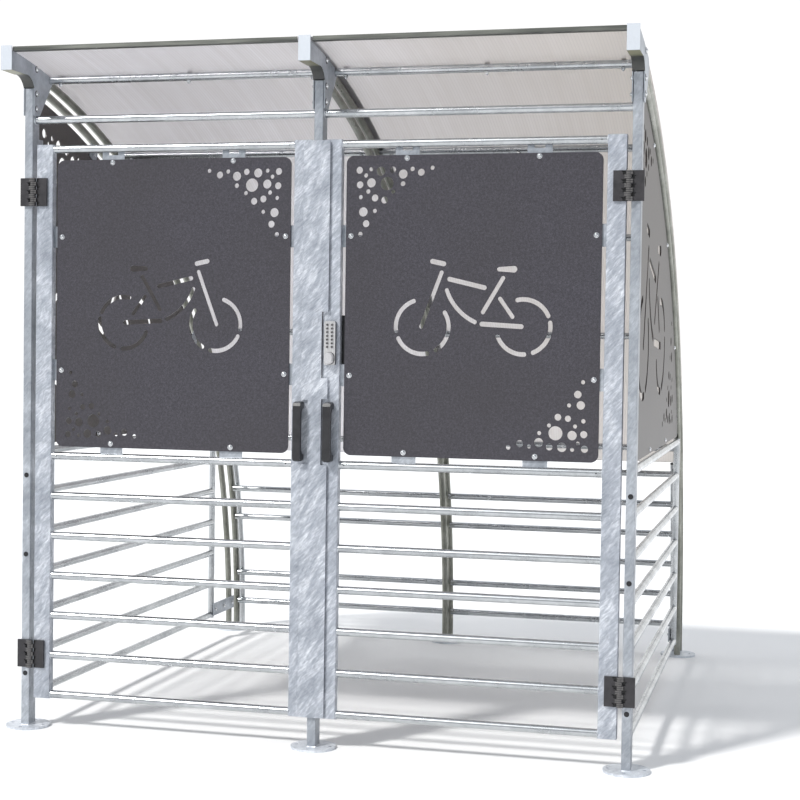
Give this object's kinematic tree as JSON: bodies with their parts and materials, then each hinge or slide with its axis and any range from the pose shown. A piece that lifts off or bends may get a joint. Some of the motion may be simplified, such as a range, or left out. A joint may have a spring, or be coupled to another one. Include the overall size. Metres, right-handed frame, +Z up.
{
  "type": "bicycle shelter",
  "caption": "Lockable walk-in bicycle shelter: galvanised tube frame, curved translucent roof and back, dark perforated panels, paired outward-swinging gates with a push-button lock.",
  "frame": {"origin": "on the floor, halfway between the outer front posts, in the plane of the posts' front faces", "axes": "+X to the right seen from the front, +Y to the back, +Z up"},
  "size_m": [2.22, 2.3108, 2.312],
  "materials": {
    "galvanised": "hot-dip galvanised, dull spangle",
    "laminate": "matt anthracite compact laminate",
    "roof_sheet": "translucent twin-wall polycarbonate, ribs from front to back",
    "aluminium_profile": "mill finish, dull",
    "black_plastic": "fine-grained black polyamide",
    "lock_metal": "satin chrome"
  },
  "bodies": {
    "frame": {"arch_inner_centre": "galvanised", "arch_inner_left": "galvanised", "arch_inner_right": "galvanised", "arch_outer_centre": "galvanised", "arch_outer_left": "galvanised", "arch_outer_right": "galvanised", "bracket_centre": "galvanised", "bracket_left": "galvanised", "bracket_right": "galvanised", "foot_clamps": "galvanised", "foot_plates": "galvanised", "head_rails": "galvanised", "hinge_post_leaves": "black_plastic", "post_centre": "galvanised", "post_left": "galvanised", "post_right": "galvanised", "purlins": "galvanised", "rear_rails": "galvanised", "rear_uprights": "galvanised", "roof_front_profiles": "aluminium_profile", "roof_joint_cover": "aluminium_profile", "roof_sheet_left": "roof_sheet", "roof_sheet_right": "roof_sheet", "side_clips": "galvanised", "side_panel_left": "laminate", "side_panel_right": "laminate", "side_rails_left": "galvanised", "side_rails_right": "galvanised", "side_uprights": "galvanised"},
    "gate_left": {"gate_panel_left": "laminate", "gate_rails_left": "galvanised", "gate_stiles_left": "galvanised", "handle_left": "black_plastic", "hinge_gate_leaves_left": "black_plastic", "panel_clips_left": "galvanised"},
    "gate_right": {"closing_plate": "galvanised", "gate_panel_right": "laminate", "gate_rails_right": "galvanised", "gate_stiles_right": "galvanised", "handle_right": "black_plastic", "hinge_gate_leaves_right": "black_plastic", "lock_case": "black_plastic", "lock_front": "lock_metal", "panel_clips_right": "galvanised"},
    "lock_knob": {"lock_knob": "lock_metal"}
  },
  "joints": [
    {"name": "gate_right_swing", "type": "hinge", "parent": "frame", "child": "gate_right", "pos_m": [1.012, -0.01, 1.05], "axis": [0, 0, 1], "range_deg": [0, 150]},
    {"name": "gate_left_swing", "type": "hinge", "parent": "frame", "child": "gate_left", "pos_m": [-1.012, -0.01, 1.05], "axis": [0, 0, -1], "range_deg": [0, 150]},
    {"name": "lock_knob_turn", "type": "hinge", "parent": "gate_right", "child": "lock_knob", "pos_m": [0.051, -0.02, 1.291], "axis": [0, -1, 0], "range_deg": [0, 90]}
  ],
  "couplings": [
    {"joint": "gate_left_swing", "follows": "gate_right_swing", "ratio": 1}
  ]
}
